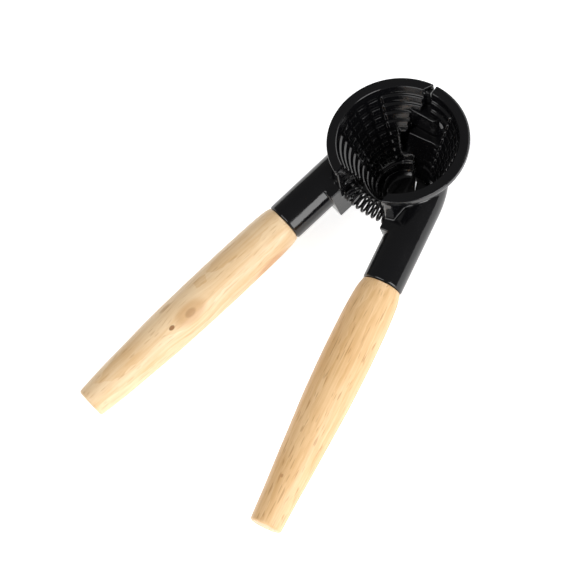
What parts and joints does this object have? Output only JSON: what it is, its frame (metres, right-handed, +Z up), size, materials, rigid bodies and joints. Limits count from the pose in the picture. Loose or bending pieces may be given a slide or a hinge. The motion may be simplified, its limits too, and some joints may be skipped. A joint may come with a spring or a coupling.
{
  "type": "funnel nutcracker",
  "caption": "Hand nutcracker: two hinged half-funnel jaws with ringed, toothed walls, a return spring and turned wooden handles.",
  "frame": {"origin": "middle of the bounding box in plan, at the level that the foot and the handle ends rest on", "axes": "+Z is up and out of the funnel's mouth, along the funnel's axis and the hinge; the handles run towards -Y and the hinge is at the +Y side; +X is across the handles"},
  "size_m": [0.1074, 0.1886, 0.05],
  "materials": {
    "jaw_enamel": "gloss black enamel on a zinc die casting",
    "pin_steel": "blackened steel",
    "spring_steel": "black oiled spring wire",
    "handle_wood": "turned beech with clear semi-matt lacquer",
    "screw_steel": "zinc plated"
  },
  "bodies": {
    "left_side": {"left_jaw": "jaw_enamel", "hinge_pin": "pin_steel", "left_handle": "handle_wood", "left_dowel_screw": "screw_steel", "return_spring": "spring_steel"},
    "right_side": {"right_jaw": "jaw_enamel", "right_handle": "handle_wood", "right_dowel_screw": "screw_steel"}
  },
  "joints": [
    {"name": "jaw_hinge", "type": "hinge", "parent": "left_side", "child": "right_side", "pos_m": [0, 0.089, 0.0208], "axis": [0, 0, 1], "range_deg": [-12, 0], "stiffness_Nm_per_rad": 12.1, "springref_deg": 4.3, "deforming": ["return_spring"]}
  ]
}
